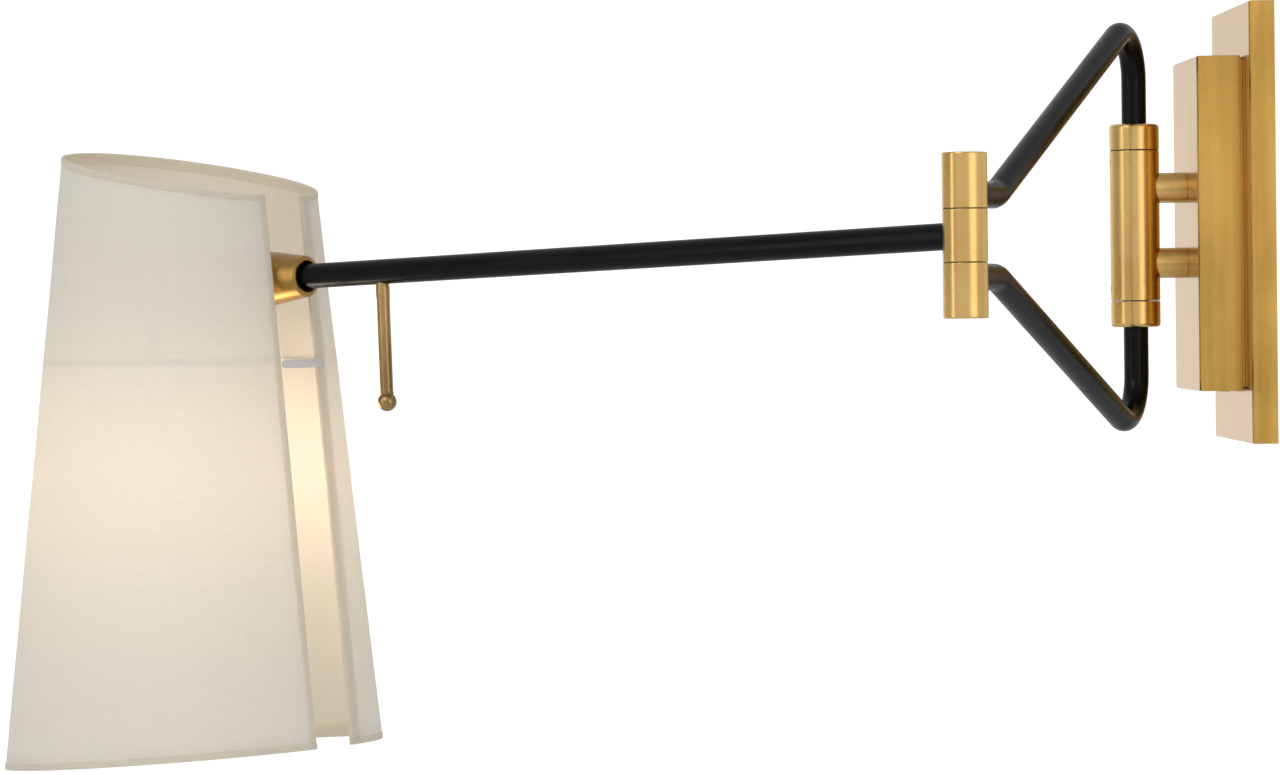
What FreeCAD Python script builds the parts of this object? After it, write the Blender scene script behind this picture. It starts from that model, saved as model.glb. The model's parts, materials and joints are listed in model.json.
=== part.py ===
"""Swing arm wall sconce: a plate and box on the wall, a barrel hinge with a
tube frame, an elbow with a straight arm, and a tilting head under a slotted
linen shade.

Millimetres.  The origin is the centre of the wall plate's back face.  The
wall is the plane Y = 0, the lamp reaches out along -Y, and Z is up.
"""
import FreeCAD
import Part
import math
import os

V = FreeCAD.Vector
X_AXIS = V(1, 0, 0)
Y_AXIS = V(0, 1, 0)
Z_AXIS = V(0, 0, 1)

# ---------------------------------------------------------------- dimensions
# wall plate, a shallow pan with its open side on the wall
PLATE_W = 132.0
PLATE_H = 228.0
PLATE_D = 13.3
PLATE_WALL = 2.2
PLATE_CHAMFER = 0.8

# box on the plate: a cover over a tray, with a shadow gap between cover and plate
BOX_W = 90.0
BOX_H = 174.0
TRAY_T = 3.3
GAP_D = 1.6
COVER_D = 22.5
COVER_WALL = 2.0
COVER_FRONT = 3.0
WIRE_HOLE_R = 14.0
TONGUE_REACH = 6.0
TONGUE_T = 2.0
TONGUE_PLAY = 0.1
COVER_SCREW_R = 1.5
COVER_SCREW_L = 5.5
COVER_SCREW_Y = 3.0
COVER_HEAD_R = 2.6
COVER_HEAD_H = 1.2

# steel crossbar behind the plate, for a round ceiling or wall box
CROSSBAR_W = 20.0
CROSSBAR_L = 152.0
CROSSBAR_T = 2.5
BOX_HOLE_SPACING = 82.6
BOX_HOLE_R = 2.3
PLATE_SCREW_Z = 66.0
PLATE_SCREW_R = 2.0
PLATE_SCREW_PLAY = 0.3
PLATE_HEAD_R = 4.0
PLATE_HEAD_H = 2.4
PLATE_SLOT_W = 1.0
PLATE_SLOT_D = 0.9
CROSSBAR_WINDOW_R = 7.0
EARTH_SCREW_Z = 24.0
EARTH_SCREW_R = 1.8
EARTH_HEAD_R = 4.2
EARTH_HEAD_H = 2.6
SCREW_TIP_GAP = 0.3

# leads and twist-on connectors inside the box
CONNECTOR_X = 22.0
CONNECTOR_Z = -50.0
CONNECTOR_R = 4.6
CONNECTOR_TIP_R = 3.0
CONNECTOR_SKIRT = 5.0
CONNECTOR_L = 17.0
CONNECTOR_BORE_R = 2.0
CONNECTOR_BORE_L = 10.0
SUPPLY_LEAD_R = 1.6
SUPPLY_LEAD_X = 3.5
SUPPLY_TURN_Z = -32.0
LEAD_R = 1.8

# two posts between the box and the barrel
POST_R = 8.0
POST_Z = 19.8
POST_STUD_R = 5.0
POST_BORE_R = 3.0
POST_STUD_L = 7.5
POST_WASHER_R = 8.5
POST_WASHER_T = 1.2
POST_NUT_ACROSS = 15.0
POST_NUT_H = 4.5
POST_LEAD_TAIL = 14.0

# barrel hinge
BARREL_Y = -64.5
BARREL_R = 13.0
BARREL_HALF = 39.4
BARREL_BORE_R = 9.5
BUSH_H = 14.0
SPINDLE_R = 7.0
SPINDLE_BORE_R = 4.0
THRUST_T = 0.4
CAP_H = 13.5
CAP_ROUNDING = 2.0
TENSION_SCREW_Z = 33.5
TENSION_SCREW_R = 2.0
TENSION_SOCKET_ACROSS = 2.0
TENSION_SOCKET_D = 2.2
RUNNING = 0.05
WASHER_GAP = 0.1

# tube frame
TUBE_R = 6.5
TUBE_BORE_R = 5.2
TUBE_SOCKET = 6.0
SPINDLE_WINDOW_R = 3.0
FRAME_LEAD_Z = 22.0
APEX_Z = 111.0
APEX_BEND_R = 23.0
ELBOW_REACH = 284.5
ELBOW_DROP = 7.6
STUB_BEND_X = 238.0
STUB_BEND_R = 26.0

# elbow: three knuckles on one pin
KNUCKLE_R = 10.7
KNUCKLE_H = 24.8
END_KNUCKLE_H = 26.2
KNUCKLE_GAP = 0.5
STUB_OFFSET_Z = 19.6
PIN_R = 4.5
PIN_HEAD_R = 7.0
PIN_HEAD_H = 4.0
PIN_RECESS = 7.0
PIN_SLOT_W = 1.2
PIN_HEAD_PLAY = 0.3
ELBOW_NUT_ACROSS = 12.04
PLUG_H = 1.6
KNUCKLE_ROUNDING = 0.8
KNUCKLE_LEAD_R = 2.2
KNUCKLE_SLEEVE_T = 1.6
SOCKET_WALL = 0.5
ELBOW_BUSH_R = 6.5
ELBOW_BUSH_H = 9.0
ELBOW_WASHER_INSET = 0.4

# arm
ARM_REACH = 496.0
ARM_DROOP = 1.92
ARM_TUBE_START = 7.3
ARM_TUBE_END = 421.0
HANDLE_X = 360.0
HANDLE_R = 3.4
HANDLE_DROP = 67.5
HANDLE_NECK_L = 0.8
HANDLE_BALL_LAP = 0.7
BALL_R = 4.95

# hub at the end of the arm, measured along the arm from its front face
HUB_FACE = 411.5
HUB_L = 44.0
HUB_FRONT_R = 10.8
HUB_BACK_R = 17.0
HUB_WALL = 2.2
HUB_MOUTH_R = 8.4
HUB_MOUTH_D = 12.0
HUB_WEB = 6.0
HUB_CHAMFER = 1.0
HUB_BACK_T = 3.0
HUB_BACK_ROUNDING = 1.4
HUB_SPIGOT = 2.0
HUB_SPIGOT_PLAY = 0.4
SWIVEL_R = 5.0
SWIVEL_BORE_R = 3.0
SWIVEL_PLUG = 18.0
SWIVEL_THREAD = 10.0
SWIVEL_GAP = 0.1
SWIVEL_WASHER_R = 9.0
SWIVEL_WASHER_T = 1.0
SWIVEL_NUT_ACROSS = 15.0
SWIVEL_NUT_H = 6.0
NIPPLE_R = 5.0
NIPPLE_BORE_R = 3.2
NIPPLE_LAP = 3.5
NIPPLE_NUT_ACROSS = 14.0
NIPPLE_NUT_H = 4.0

# lampholder, hanging from the shade's axis; heights from the arm's axis
CAP_R = 17.0
CAP_TOP = 13.0
CAP_BOTTOM = -16.0
CAP_DOME = 9.0
CAP_WALL = 1.2
HOLDER_R = 16.2
HOLDER_BOTTOM = -63.0
HOLDER_NECK = 0.5
SHOULDER_W = 2.4
SHOULDER_H = 3.0
SHOULDER_RISE = 5.0
CORE_H = 9.0
CORE_HOLE_R = 1.5
CORE_HOLE_Y = 8.0
CONTACT_W = 6.0
CONTACT_L = 14.0
CONTACT_T = 1.4
CONTACT_GAP = 2.2
CONTACT_STUD_R = 2.4
CONTACT_STUD_H = 2.0
FITTER_Z = -43.0
FITTER_T = 1.6
FITTER_RIM = 1.0
SPOKE_LAP = 1.5
RING_NUT_R = 20.0
RING_NUT_H = 7.0
RING_NUT_FLUTES = 24
FLUTE_R = 0.9
SHELL_R = 13.6
SHELL_T = 0.4
SHELL_LIFT = 3.0

# lamp bulb
BULB_BASE_R = 12.9
BULB_BASE_TOP = -31.0
BULB_SHOULDER = 4.0
BULB_TIP_R = 4.4
BULB_TIP_GAP = 4.0
BULB_NECK_Z = -58.0
BULB_NECK_R = 13.0
BULB_R = 30.0
BULB_CENTRE_Z = -118.0
BULB_SHOULDER_ANGLE = 38.0
BULB_LOW_ANGLE = -26.0
THROAT_FLARE = 1.2
THROAT_DROP = 16.0
GLASS_T = 0.7
STEM_R = 5.0
STEM_H = 12.0
STEM_GAP = 0.2
SPINE_R = 1.2
ROD_R = 1.1
ROD_CIRCLE = 7.0
ROD_H = 34.0
ROD_PLATE_R = 8.4
ROD_PLATE_T = 1.0

# shade: a cone with both rims cut on a slope towards the arm
SHADE_R = 89.6
SHADE_R_Z = -146.0
SHADE_TAPER = 0.1063
SHADE_T = 1.2
SHADE_TOP = 59.0
SHADE_BOTTOM = -252.5
TOP_SLOPE = -0.195
BOTTOM_SLOPE = 0.083
SLOT_W = 28.0
HEM_W = 5.0
SLOT_HEM_W = 4.5
HEM_T = 0.5
BAND_LAP = 0.4
INNER_HEM_T = 0.5
BAND_SLOT_GAP = 0.5
RIM_BAND_T = 0.9
INNER_HEM_W = 8.0
BRIDGE_T = 1.0
BRIDGE_H = 4.6
BRIDGE_LAP = 6.0
HOOP_WIRE_R = 1.3
HOOP_GAP = 0.3
SPOKE_R = 1.3

# rest pose
FRAME_SWING = 66.5
ELBOW_BEND = -104.7

# ------------------------------------------------------- values worked out
PLATE_FRONT = -PLATE_D
TRAY_FRONT = PLATE_FRONT - TRAY_T
COVER_BACK = PLATE_FRONT - GAP_D
BOX_FRONT = COVER_BACK - COVER_D
LEAD_Y = (TRAY_FRONT + BOX_FRONT) / 2 + 1
WASHER_Z = BARREL_HALF + WASHER_GAP
CAP_Z = WASHER_Z + THRUST_T + WASHER_GAP
CAP_TOP_Z = CAP_Z + CAP_H
FRAME_AZIMUTH = -90.0 + FRAME_SWING
ARM_AZIMUTH = FRAME_AZIMUTH + ELBOW_BEND
ELBOW_TOP = KNUCKLE_H / 2 + KNUCKLE_GAP + END_KNUCKLE_H
PIN_TOP = ELBOW_TOP - PIN_RECESS
CORE_BASE = CAP_BOTTOM - CORE_H
FAR = 200.0


# ------------------------------------------------------------ small helpers
def cylinder(radius, length, base=V(0, 0, 0), axis=Z_AXIS):
    return Part.makeCylinder(radius, length, base, axis)


def ring(outer, inner, length, base=V(0, 0, 0), axis=Z_AXIS):
    return cylinder(outer, length, base, axis).cut(cylinder(inner, length, base, axis))


def block(low, high):
    size = high - low
    return Part.makeBox(size.x, size.y, size.z, low)


def lathe(profile):
    """A solid of revolution about Z from closed (radius, height) points."""
    points = [V(r, 0, z) for r, z in profile]
    face = Part.Face(Part.makePolygon(points + points[:1]))
    return face.revolve(V(0, 0, 0), Z_AXIS, 360)


def along_x(shape, x=0.0):
    """Lay a shape that was made along Z along X, with its Z = 0 at x."""
    laid = shape.copy()
    laid.rotate(V(0, 0, 0), Y_AXIS, 90)
    laid.translate(V(x, 0, 0))
    return laid


def bevel_outer(shape, size, plane_test):
    """Chamfer the edges for which plane_test(edge) is true."""
    edges = [edge for edge in shape.Edges if plane_test(edge)]
    return shape.makeChamfer(size, edges)


def rounded_plug(radius, height, rounding):
    """A plain round plug along Z with its top edge rounded."""
    plug = cylinder(radius, height)
    top = [e for e in plug.Edges if abs(e.BoundBox.ZMin - height) < 1e-6
           and abs(e.BoundBox.ZMax - height) < 1e-6]
    return plug.makeFillet(rounding, top)


def bent_path(points, radii):
    """Straight runs joined by tangent arcs; radii belong to the inner points."""
    edges = []
    start = points[0]
    for before, corner, after, radius in zip(points, points[1:], points[2:], radii):
        back = (before - corner).normalize()
        ahead = (after - corner).normalize()
        half_angle = back.getAngle(ahead) / 2
        setback = radius / math.tan(half_angle)
        entry = corner + back * setback
        leave = corner + ahead * setback
        middle = (back + ahead).normalize()
        centre = corner + middle * (radius / math.sin(half_angle))
        through = centre - middle * radius
        edges.append(Part.LineSegment(start, entry).toShape())
        edges.append(Part.Arc(entry, through, leave).toShape())
        start = leave
    edges.append(Part.LineSegment(start, points[-1]).toShape())
    return Part.Wire(edges)


def swept(path, radius):
    """A round bar along a path that starts at the path's first vertex."""
    first = path.Edges[0]
    start = first.valueAt(first.FirstParameter)
    tangent = first.tangentAt(first.FirstParameter)
    circle = Part.Wire(Part.Circle(start, tangent, radius).toShape())
    return path.makePipeShell([circle], True, True)


def to_frame(shape):
    """From the tube frame's own axes (X towards the elbow) to the lamp's."""
    placed = shape.copy()
    placed.rotate(V(0, 0, 0), Z_AXIS, FRAME_AZIMUTH)
    placed.translate(V(0, BARREL_Y, 0))
    return placed


def elbow_point():
    angle = math.radians(FRAME_AZIMUTH)
    reach = V(math.cos(angle), math.sin(angle), 0) * ELBOW_REACH
    return V(0, BARREL_Y, -ELBOW_DROP) + reach


def to_arm(shape):
    """From the arm's own axes (X along the arm, from the elbow) to the lamp's."""
    placed = shape.copy()
    placed.rotate(V(0, 0, 0), Y_AXIS, ARM_DROOP)
    placed.rotate(V(0, 0, 0), Z_AXIS, ARM_AZIMUTH)
    placed.translate(elbow_point())
    return placed


def to_elbow(shape):
    """Like to_arm, but upright: for the pieces stacked on the elbow's pin."""
    placed = shape.copy()
    placed.rotate(V(0, 0, 0), Z_AXIS, ARM_AZIMUTH)
    placed.translate(elbow_point())
    return placed


def head_point():
    azimuth = math.radians(ARM_AZIMUTH)
    droop = math.radians(ARM_DROOP)
    level = V(math.cos(azimuth), math.sin(azimuth), 0) * math.cos(droop)
    return elbow_point() + (level - Z_AXIS * math.sin(droop)) * ARM_REACH


def to_head(shape):
    """From the shade's own axes (X towards the elbow, Z up) to the lamp's."""
    placed = shape.copy()
    placed.rotate(V(0, 0, 0), Z_AXIS, ARM_AZIMUTH + 180)
    placed.translate(head_point())
    return placed


def arm_cutter(shape):
    """A shape in the arm's axes, brought into the shade's axes."""
    moved = shape.copy()
    moved.translate(V(-ARM_REACH, 0, 0))
    moved.rotate(V(0, 0, 0), Y_AXIS, ARM_DROOP)
    moved.rotate(V(0, 0, 0), Z_AXIS, 180)
    return moved


# ------------------------------------------------------ wall plate and box
def pan(width, height, back, front, wall, floor):
    """An open pan: its floor is at `front`, and its open side at `back`."""
    outer = block(V(-width / 2, front, -height / 2), V(width / 2, back, height / 2))
    inner = block(V(-width / 2 + wall, front + floor, -height / 2 + wall),
                  V(width / 2 - wall, back, height / 2 - wall))
    return outer, inner


def front_edge(y):
    """A test for the edges that lie in the plane Y = y."""
    return lambda edge: abs(edge.BoundBox.YMin - y) < 1e-6 and abs(edge.BoundBox.YMax - y) < 1e-6


def screw_rows(radius, low, high):
    """The two plate screw holes, as cutters between two Y values."""
    return [cylinder(radius, high - low, V(0, low, side * PLATE_SCREW_Z), Y_AXIS)
            for side in (-1, 1)]


def wall_plate():
    outer, inner = pan(PLATE_W, PLATE_H, 0, PLATE_FRONT, PLATE_WALL, PLATE_WALL)
    outer = bevel_outer(outer, PLATE_CHAMFER, front_edge(PLATE_FRONT))
    plate = outer.cut(inner)
    plate = plate.cut(cylinder(WIRE_HOLE_R, PLATE_WALL, V(0, PLATE_FRONT, 0), Y_AXIS))
    for hole in screw_rows(PLATE_SCREW_R + PLATE_SCREW_PLAY, PLATE_FRONT, PLATE_FRONT + PLATE_WALL):
        plate = plate.cut(hole)
    return plate


def cover_screw_foot(side):
    """Where the tip of a cover screw is, in the tray's tongue."""
    return V(0, COVER_BACK - COVER_SCREW_Y, side * (BOX_H / 2 - COVER_SCREW_L))


def cover_screw_holes():
    return [cylinder(COVER_SCREW_R, COVER_SCREW_L + 1, cover_screw_foot(side), Z_AXIS * side)
            for side in (-1, 1)]


def box_base():
    """The tray screwed to the plate; its raised edge holds the cover."""
    inset = COVER_WALL + TONGUE_PLAY
    within = inset + TONGUE_T
    front = COVER_BACK - TONGUE_REACH
    tray = block(V(-BOX_W / 2 + inset, front, -BOX_H / 2 + inset),
                 V(BOX_W / 2 - inset, PLATE_FRONT, BOX_H / 2 - inset))
    hollow = block(V(-BOX_W / 2 + within, front, -BOX_H / 2 + within),
                   V(BOX_W / 2 - within, TRAY_FRONT, BOX_H / 2 - within))
    base = tray.cut(hollow).cut(cylinder(WIRE_HOLE_R, TRAY_T, V(0, TRAY_FRONT, 0), Y_AXIS))
    for hole in screw_rows(PLATE_SCREW_R + PLATE_SCREW_PLAY, TRAY_FRONT, PLATE_FRONT):
        base = base.cut(hole)
    for hole in cover_screw_holes():
        base = base.cut(hole)
    return base


def box_cover():
    outer, inner = pan(BOX_W, BOX_H, COVER_BACK, BOX_FRONT, COVER_WALL, COVER_FRONT)
    outer = bevel_outer(outer, PLATE_CHAMFER, front_edge(BOX_FRONT))
    cover = outer.cut(inner)
    for side in (-1, 1):
        cover = cover.cut(cylinder(POST_STUD_R, COVER_FRONT, V(0, BOX_FRONT, side * POST_Z), Y_AXIS))
    for hole in cover_screw_holes():
        cover = cover.cut(hole)
    return cover


def cover_screws():
    """A small screw through the top and bottom walls of the cover."""
    screws = []
    for side in (-1, 1):
        foot = cover_screw_foot(side)
        shank = cylinder(COVER_SCREW_R - RUNNING, COVER_SCREW_L, foot, Z_AXIS * side)
        head = cylinder(COVER_HEAD_R, COVER_HEAD_H, V(foot.x, foot.y, side * BOX_H / 2), Z_AXIS * side)
        screws.append(shank.fuse(head).removeSplitter())
    return Part.makeCompound(screws)


def crossbar():
    """A steel bar behind the plate, screwed to the box in the wall."""
    bar = block(V(-CROSSBAR_W / 2, -CROSSBAR_T, -CROSSBAR_L / 2), V(CROSSBAR_W / 2, 0, CROSSBAR_L / 2))
    for side in (-1, 1):
        centre = V(0, -CROSSBAR_T, side * BOX_HOLE_SPACING / 2)
        bar = bar.cut(cylinder(BOX_HOLE_R, CROSSBAR_T, centre, Y_AXIS))
    for hole in screw_rows(PLATE_SCREW_R, -CROSSBAR_T, 0):
        bar = bar.cut(hole)
    window = cylinder(CROSSBAR_WINDOW_R, CROSSBAR_T, V(0, -CROSSBAR_T, 0), Y_AXIS)
    earth = cylinder(EARTH_SCREW_R, CROSSBAR_T, V(0, -CROSSBAR_T, EARTH_SCREW_Z), Y_AXIS)
    return bar.cut(window).cut(earth)


def plate_screws():
    """Two screws from inside the box, through the plate, into the crossbar."""
    screws = []
    for side in (-1, 1):
        seat = V(0, TRAY_FRONT, side * PLATE_SCREW_Z)
        shank = cylinder(PLATE_SCREW_R, -TRAY_FRONT - SCREW_TIP_GAP, seat, Y_AXIS)
        head = cylinder(PLATE_HEAD_R, PLATE_HEAD_H, seat - Y_AXIS * PLATE_HEAD_H, Y_AXIS)
        slot = block(seat + V(-PLATE_HEAD_R, -PLATE_HEAD_H, -PLATE_SLOT_W / 2),
                     seat + V(PLATE_HEAD_R, PLATE_SLOT_D - PLATE_HEAD_H, PLATE_SLOT_W / 2))
        screws.append(shank.fuse(head).removeSplitter().cut(slot))
    return Part.makeCompound(screws)


def earth_screw():
    seat = V(0, -CROSSBAR_T, EARTH_SCREW_Z)
    shank = cylinder(EARTH_SCREW_R, CROSSBAR_T - SCREW_TIP_GAP, seat, Y_AXIS)
    head = cylinder(EARTH_HEAD_R, EARTH_HEAD_H, seat - Y_AXIS * EARTH_HEAD_H, Y_AXIS)
    return shank.fuse(head).removeSplitter()


def wire_connectors():
    """Two twist-on caps on the joined leads inside the box."""
    caps = []
    for side in (-1, 1):
        cap = lathe([(0, 0), (CONNECTOR_R, 0), (CONNECTOR_R, CONNECTOR_SKIRT),
                     (CONNECTOR_TIP_R, CONNECTOR_L), (0, CONNECTOR_L)])
        cap = cap.cut(cylinder(CONNECTOR_BORE_R, CONNECTOR_BORE_L))
        cap.rotate(V(0, 0, 0), X_AXIS, 180)
        cap.translate(V(side * CONNECTOR_X, LEAD_Y, CONNECTOR_Z))
        caps.append(cap)
    return Part.makeCompound(caps)


def supply_leads():
    """The two insulated leads from the wall opening to the connectors."""
    leads = []
    for side in (-1, 1):
        end_z = CONNECTOR_Z - CONNECTOR_BORE_L + 2
        points = [V(side * SUPPLY_LEAD_X, -SCREW_TIP_GAP, 0), V(side * SUPPLY_LEAD_X, LEAD_Y, 0),
                  V(side * CONNECTOR_X, LEAD_Y, SUPPLY_TURN_Z), V(side * CONNECTOR_X, LEAD_Y, end_z)]
        leads.append(swept(bent_path(points, [6, 10]), SUPPLY_LEAD_R))
    return Part.makeCompound(leads)


# ---------------------------------------------------------- posts and barrel
def post(z, bored):
    """A round post with a stud through the box front, coped to the barrel."""
    body = cylinder(POST_R, BOX_FRONT - BARREL_Y, V(0, BARREL_Y, z), Y_AXIS)
    stud = cylinder(POST_STUD_R, COVER_FRONT + POST_STUD_L, V(0, BOX_FRONT, z), Y_AXIS)
    solid = body.fuse(stud).removeSplitter()
    solid = solid.cut(cylinder(BARREL_R, 4 * BARREL_R, V(0, BARREL_Y, z - 2 * BARREL_R)))
    if bored:
        solid = solid.cut(cylinder(POST_BORE_R, -BARREL_Y, V(0, BARREL_Y, z), Y_AXIS))
    return solid


def hexagon(across, height, base, axis):
    """A hexagonal prism from base along axis."""
    corner = across / math.sqrt(3)
    points = [V(corner * math.cos(math.radians(60 * k)), corner * math.sin(math.radians(60 * k)), 0)
              for k in range(6)]
    prism = Part.Face(Part.makePolygon(points + points[:1])).extrude(V(0, 0, height))
    turn = FreeCAD.Rotation(Z_AXIS, axis)
    prism.Placement = FreeCAD.Placement(base, turn)
    return prism


def post_washers():
    back = BOX_FRONT + COVER_FRONT
    return Part.makeCompound([ring(POST_WASHER_R, POST_STUD_R, POST_WASHER_T,
                                   V(0, back, side * POST_Z), Y_AXIS) for side in (-1, 1)])


def post_nuts():
    back = BOX_FRONT + COVER_FRONT + POST_WASHER_T
    nuts = []
    for side in (-1, 1):
        nut = hexagon(POST_NUT_ACROSS, POST_NUT_H, V(0, back, side * POST_Z), Y_AXIS)
        nuts.append(nut.cut(cylinder(POST_STUD_R, POST_NUT_H, V(0, back, side * POST_Z), Y_AXIS)))
    return Part.makeCompound(nuts)


def at_barrel(shape):
    placed = shape.copy()
    placed.translate(V(0, BARREL_Y, 0))
    return placed


def barrel():
    body = ring(BARREL_R, BARREL_BORE_R, 2 * BARREL_HALF, V(0, 0, -BARREL_HALF))
    body = body.cut(cylinder(POST_BORE_R, BARREL_R + 1, V(0, 0, -POST_Z), Y_AXIS))
    for side in (-1, 1):
        body = body.cut(cylinder(TENSION_SCREW_R, BARREL_R + 1, V(0, 0, side * TENSION_SCREW_Z), -Y_AXIS))
    return at_barrel(body)


def barrel_bushes():
    """A bronze bush in each end of the barrel, drilled for the tension screw."""
    bushes = []
    for side, low in ((1, BARREL_HALF - BUSH_H), (-1, -BARREL_HALF)):
        bush = ring(BARREL_BORE_R, SPINDLE_R + RUNNING, BUSH_H, V(0, 0, low))
        drill = cylinder(TENSION_SCREW_R, BARREL_R, V(0, 0, side * TENSION_SCREW_Z), -Y_AXIS)
        bushes.append(bush.cut(drill))
    return at_barrel(Part.makeCompound(bushes))


def tension_screws():
    """Headless screws that set how hard the hinge is to turn."""
    screws = []
    for side in (-1, 1):
        length = BARREL_R - SPINDLE_R - 2 * SCREW_TIP_GAP
        base = V(0, -SPINDLE_R - SCREW_TIP_GAP, side * TENSION_SCREW_Z)
        screw = cylinder(TENSION_SCREW_R, length, base, -Y_AXIS)
        socket = hexagon(TENSION_SOCKET_ACROSS, TENSION_SOCKET_D,
                         base - Y_AXIS * (length - TENSION_SOCKET_D), -Y_AXIS)
        screws.append(screw.cut(socket))
    return at_barrel(Part.makeCompound(screws))


def post_lead():
    """The lead from the box, through the lower post, to the barrel."""
    length = BOX_FRONT + POST_LEAD_TAIL - BARREL_Y - BARREL_BORE_R
    return cylinder(LEAD_R, length, V(0, BARREL_Y + BARREL_BORE_R, -POST_Z), Y_AXIS)


# ------------------------------------------------------------- tube frame
def spindle():
    half = CAP_TOP_Z - TUBE_SOCKET
    shaft = ring(SPINDLE_R, SPINDLE_BORE_R, 2 * half, V(0, 0, -half))
    window = cylinder(SPINDLE_WINDOW_R, 4 * SPINDLE_R, V(-2 * SPINDLE_R, 0, -POST_Z), X_AXIS)
    return to_frame(shaft.cut(window))


def thrust_washers():
    """Plastic washers between the barrel and the two caps."""
    washers = [ring(BARREL_R - 0.5, SPINDLE_R, THRUST_T, V(0, 0, base))
               for base in (WASHER_Z, -WASHER_Z - THRUST_T)]
    return to_frame(Part.makeCompound(washers))


def barrel_cap(side):
    """A cap that turns with the frame: spindle from one side, tube from the other."""
    cap = rounded_plug(BARREL_R, CAP_H, CAP_ROUNDING)
    cap = cap.cut(cylinder(SPINDLE_R, CAP_H - TUBE_SOCKET))
    cap = cap.cut(cylinder(TUBE_R, TUBE_SOCKET, V(0, 0, CAP_H - TUBE_SOCKET)))
    cap.translate(V(0, 0, CAP_Z))
    if side < 0:
        cap.rotate(V(0, 0, 0), X_AXIS, 180)
    return to_frame(cap)


def tube_points(side, inner_end, elbow_end):
    """Corners of a frame tube's centre line in the frame's own axes."""
    stub_z = side * STUB_OFFSET_Z - ELBOW_DROP
    return [V(0, 0, side * inner_end), V(0, 0, side * APEX_Z),
            V(STUB_BEND_X, 0, stub_z), V(elbow_end, 0, stub_z)]


def frame_tube(side):
    socket_end = ELBOW_REACH - PIN_HEAD_R - SOCKET_WALL
    path = bent_path(tube_points(side, CAP_TOP_Z - TUBE_SOCKET, socket_end),
                     [APEX_BEND_R, STUB_BEND_R])
    tube = swept(path, TUBE_R).cut(swept(path, TUBE_BORE_R))
    return to_frame(tube)


def frame_lead():
    """The lead inside the lower tube, from the spindle to the elbow."""
    path = bent_path(tube_points(-1, FRAME_LEAD_Z, ELBOW_REACH - PIN_HEAD_R - 1.5),
                     [APEX_BEND_R, STUB_BEND_R])
    return to_frame(swept(path, LEAD_R))


def outer_knuckle(side):
    """An end knuckle: pin bore, a recess for the pin's head, and a tube socket."""
    low = KNUCKLE_H / 2 + KNUCKLE_GAP
    body = rounded_plug(KNUCKLE_R, END_KNUCKLE_H, KNUCKLE_ROUNDING)
    body.translate(V(0, 0, low))
    body = body.cut(cylinder(PIN_R, END_KNUCKLE_H, V(0, 0, low)))
    body = body.cut(cylinder(PIN_HEAD_R + PIN_HEAD_PLAY, PIN_RECESS,
                             V(0, 0, low + END_KNUCKLE_H - PIN_RECESS)))
    if side < 0:
        body.rotate(V(0, 0, 0), X_AXIS, 180)
    depth = PIN_HEAD_R + SOCKET_WALL
    socket = cylinder(TUBE_R, KNUCKLE_R, V(-depth - KNUCKLE_R, 0, side * STUB_OFFSET_Z), X_AXIS)
    body = body.cut(socket)
    body = body.cut(cylinder(KNUCKLE_LEAD_R, depth, V(-depth, 0, side * STUB_OFFSET_Z), X_AXIS))
    body = body.fuse(ring(PIN_R + KNUCKLE_SLEEVE_T, PIN_R, END_KNUCKLE_H - PIN_RECESS,
                          V(0, 0, low if side > 0 else -low - END_KNUCKLE_H + PIN_RECESS)))
    body.translate(V(ELBOW_REACH, 0, -ELBOW_DROP))
    return to_frame(body.removeSplitter())


def elbow_pin():
    """A shoulder pin through the three knuckles, headed at the top."""
    head_top = PIN_TOP + PIN_HEAD_H
    pin = cylinder(PIN_R, PIN_TOP + head_top, V(0, 0, -head_top))
    head = cylinder(PIN_HEAD_R, PIN_HEAD_H, V(0, 0, PIN_TOP))
    slot = block(V(-PIN_HEAD_R, -PIN_SLOT_W / 2, head_top - PIN_SLOT_W),
                 V(PIN_HEAD_R, PIN_SLOT_W / 2, head_top))
    pin = pin.fuse(head).removeSplitter().cut(slot)
    pin.translate(V(ELBOW_REACH, 0, -ELBOW_DROP))
    return to_frame(pin)


def elbow_nut():
    base = V(0, 0, -PIN_TOP - PIN_HEAD_H)
    nut = hexagon(ELBOW_NUT_ACROSS, PIN_HEAD_H, base, Z_AXIS)
    nut = nut.cut(cylinder(PIN_R, PIN_HEAD_H, base))
    nut.translate(V(ELBOW_REACH, 0, -ELBOW_DROP))
    return to_frame(nut)


def elbow_plugs():
    """Thin discs that close the recesses at the top and bottom of the elbow."""
    plugs = [cylinder(PIN_HEAD_R + PIN_HEAD_PLAY, PLUG_H, V(ELBOW_REACH, 0, base - ELBOW_DROP))
             for base in (ELBOW_TOP - PLUG_H, -ELBOW_TOP)]
    return to_frame(Part.makeCompound(plugs))


def elbow_washers():
    """Thin washers between the knuckles; they stay with the frame."""
    washers = []
    for base in (KNUCKLE_H / 2 + WASHER_GAP, -KNUCKLE_H / 2 - KNUCKLE_GAP):
        washers.append(ring(KNUCKLE_R - ELBOW_WASHER_INSET, PIN_R, KNUCKLE_GAP - WASHER_GAP,
                            V(ELBOW_REACH, 0, base - ELBOW_DROP)))
    return to_frame(Part.makeCompound(washers))


# --------------------------------------------------------------------- arm
def middle_knuckle():
    body = cylinder(KNUCKLE_R, KNUCKLE_H, V(0, 0, -KNUCKLE_H / 2))
    body = body.cut(cylinder(ELBOW_BUSH_R, KNUCKLE_H, V(0, 0, -KNUCKLE_H / 2)))
    body = body.cut(droop(cylinder(TUBE_R, 2 * KNUCKLE_R, V(ARM_TUBE_START, 0, 0), X_AXIS)))
    return to_elbow(body)


def droop(shape):
    """Tip a shape that lies along X down by the arm's droop."""
    tipped = shape.copy()
    tipped.rotate(V(0, 0, 0), Y_AXIS, ARM_DROOP)
    return tipped


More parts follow.
